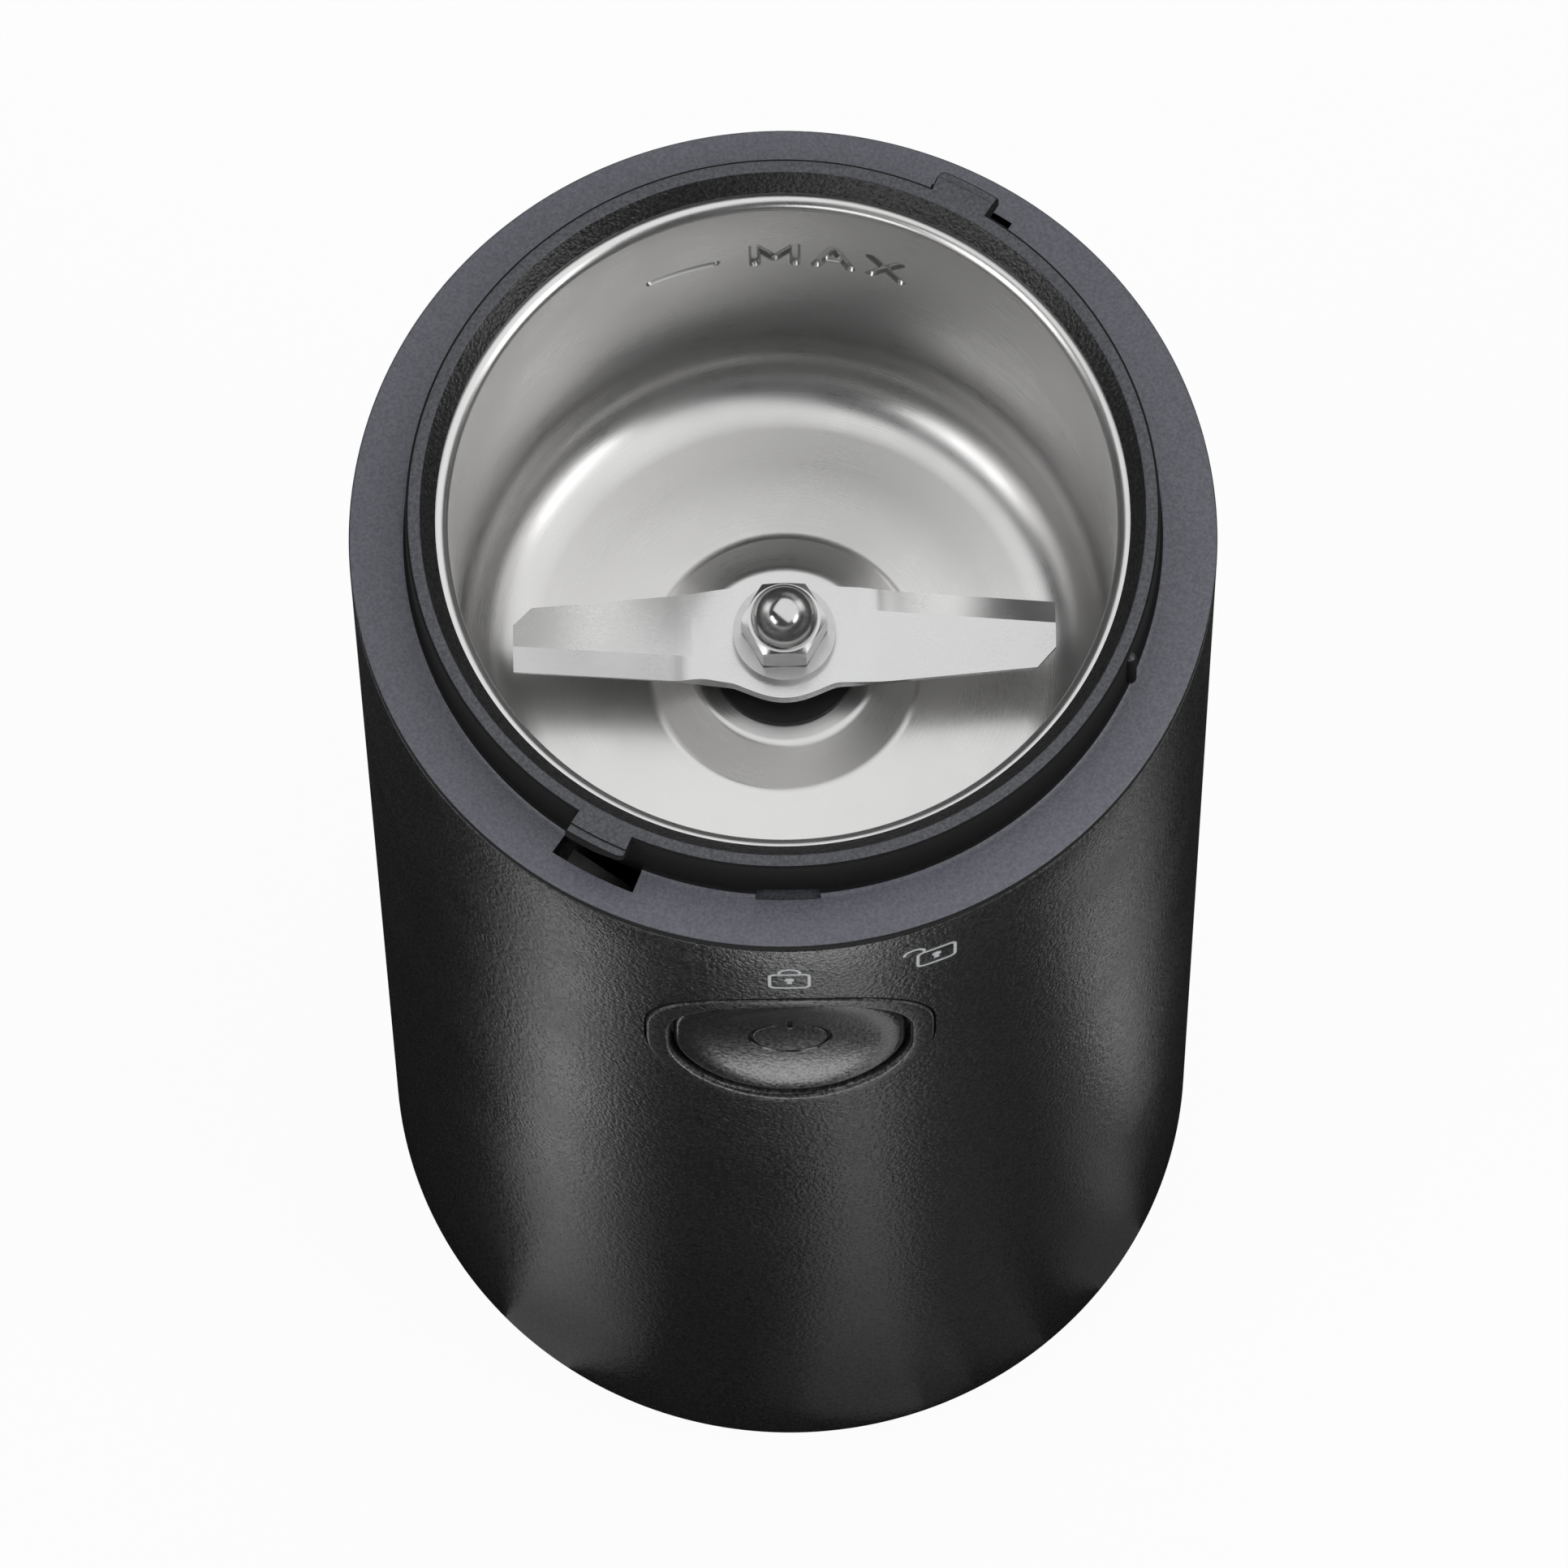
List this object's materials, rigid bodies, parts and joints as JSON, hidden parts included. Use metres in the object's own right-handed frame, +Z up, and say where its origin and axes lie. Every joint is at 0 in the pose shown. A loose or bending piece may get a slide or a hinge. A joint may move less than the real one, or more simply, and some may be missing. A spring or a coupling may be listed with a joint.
{
  "type": "electric coffee grinder",
  "caption": "Upright electric blade coffee grinder with a tapered body, rounded side button, steel cup and a bayonet collar for its lid, shown with the lid off.",
  "frame": {"origin": "centre of the body's axis on the plane that the feet stand on", "axes": "+Z up along the body's axis, -Y toward the power button, +X to the right seen from the button's side"},
  "size_m": [0.092, 0.092, 0.1817],
  "materials": {
    "shell": "fine spark texture",
    "ring": "satin moulded",
    "button": "fine satin",
    "steel": "drawn and polished at the rim",
    "blade_steel": "ground",
    "screw_steel": "zinc plated",
    "iron": "stacked sheet",
    "bracket_metal": "die cast",
    "copper": "enamelled wire",
    "bronze": "sintered",
    "carbon": "pressed carbon",
    "rubber": "moulded",
    "seal": "soft silicone",
    "frame_plastic": "filled nylon",
    "base_plastic": "moulded",
    "switch_red": "moulded",
    "white_plastic": "moulded",
    "lead_cover": "soft insulation"
  },
  "bodies": {
    "housing": {"outer_shell": "shell", "top_ring": "ring", "cup_seal": "seal", "grinding_cup": "steel", "motor_carrier": "frame_plastic", "housing_screws": "screw_steel", "base_plate": "base_plastic", "base_screws": "screw_steel", "rubber_feet": "rubber", "cord_inlet": "rubber", "button_bezel": "button", "button_back": "button", "button_spring": "screw_steel", "power_switch": "switch_red", "interlock_spring": "screw_steel", "interlock_switch": "switch_red", "switch_pins": "screw_steel", "switch_terminals": "bronze", "lead_wires": "lead_cover", "rubber_mounts": "rubber", "motor_screws": "screw_steel", "upper_bracket": "bracket_metal", "upper_bearing": "bronze", "stator_core": "iron", "field_coils": "copper", "stator_bolts": "screw_steel", "lower_bracket": "base_plastic", "lower_bearing": "bronze", "brush_holders": "bronze", "carbon_brushes": "carbon", "brush_springs": "screw_steel", "shaft_seal": "seal"},
    "rotor": {"motor_shaft": "screw_steel", "armature_core": "iron", "armature_winding": "copper", "commutator_hub": "base_plastic", "commutator_bars": "copper", "thrust_washer": "white_plastic", "blade_spacer": "screw_steel", "blade": "blade_steel", "blade_washer": "screw_steel", "blade_nut": "blade_steel"},
    "button": {"power_button": "button"},
    "switch_plunger": {"power_switch_plunger": "white_plastic"},
    "lock_rod": {"interlock_rod": "base_plastic"},
    "lock_plunger": {"interlock_switch_plunger": "white_plastic"}
  },
  "joints": [
    {"name": "blade_spin", "type": "hinge", "parent": "housing", "child": "rotor", "pos_m": [0, 0, 0.1415], "axis": [0, 0, 1], "continuous": true},
    {"name": "button_press", "type": "slide", "parent": "housing", "child": "button", "axis": [0, 1, 0], "range_m": [0, 0.0016], "stiffness_N_per_m": 1200, "springref_m": -0.002, "deforming": ["button_spring"]},
    {"name": "power_switch_press", "type": "slide", "parent": "housing", "child": "switch_plunger", "axis": [0, 1, 0], "range_m": [0, 0.0016]},
    {"name": "interlock_press", "type": "slide", "parent": "housing", "child": "lock_rod", "axis": [0, 0, -1], "range_m": [0, 0.002], "stiffness_N_per_m": 600, "springref_m": -0.004, "deforming": ["interlock_spring"]},
    {"name": "interlock_switch_press", "type": "slide", "parent": "housing", "child": "lock_plunger", "axis": [0, 0, -1], "range_m": [0, 0.002]}
  ],
  "couplings": [
    {"joint": "power_switch_press", "follows": "button_press", "ratio": 1},
    {"joint": "interlock_switch_press", "follows": "interlock_press", "ratio": 1}
  ]
}
